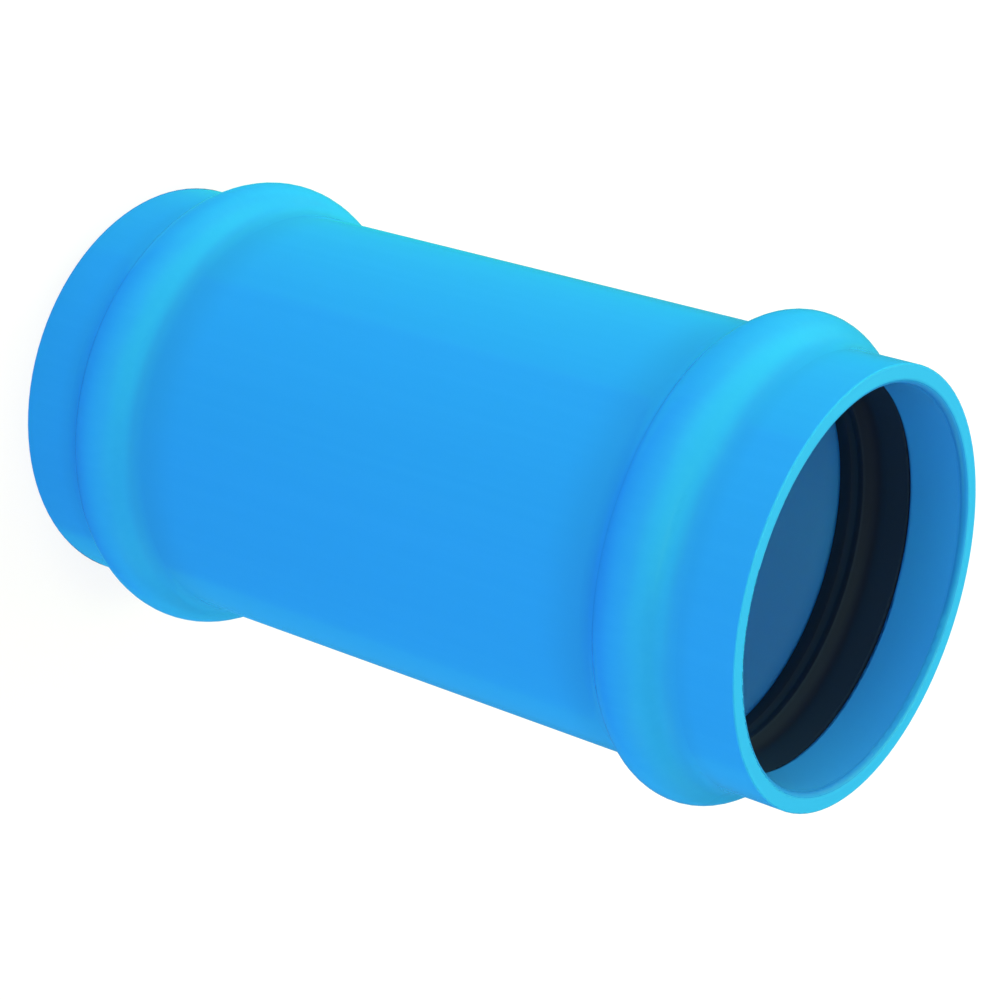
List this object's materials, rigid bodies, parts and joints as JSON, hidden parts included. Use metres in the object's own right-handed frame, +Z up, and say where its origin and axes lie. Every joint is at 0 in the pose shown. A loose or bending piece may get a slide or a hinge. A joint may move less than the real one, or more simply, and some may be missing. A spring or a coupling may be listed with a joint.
{
  "type": "slip coupling",
  "caption": "Straight-through plastic pressure pipe coupling with no centre stop: an outward bead near each mouth holds a rubber lip seal, so it slides along the pipe for a repair.",
  "frame": {"origin": "centre of the lower mouth's end face, on the surface that the coupling stands on", "axes": "+Z up along the bore's axis, from the lower mouth to the upper one; X and Y square to it, with no preferred direction round the axis"},
  "size_m": [0.1373, 0.1374, 0.25],
  "materials": {
    "sleeve_plastic": "smooth semi-gloss moulded blue PVC",
    "seal_rubber": "matt black moulded rubber with a slight sheen"
  },
  "bodies": {
    "root": {"coupling_sleeve": "sleeve_plastic", "upper_seal_ring": "seal_rubber", "lower_seal_ring": "seal_rubber"}
  },
  "joints": []
}
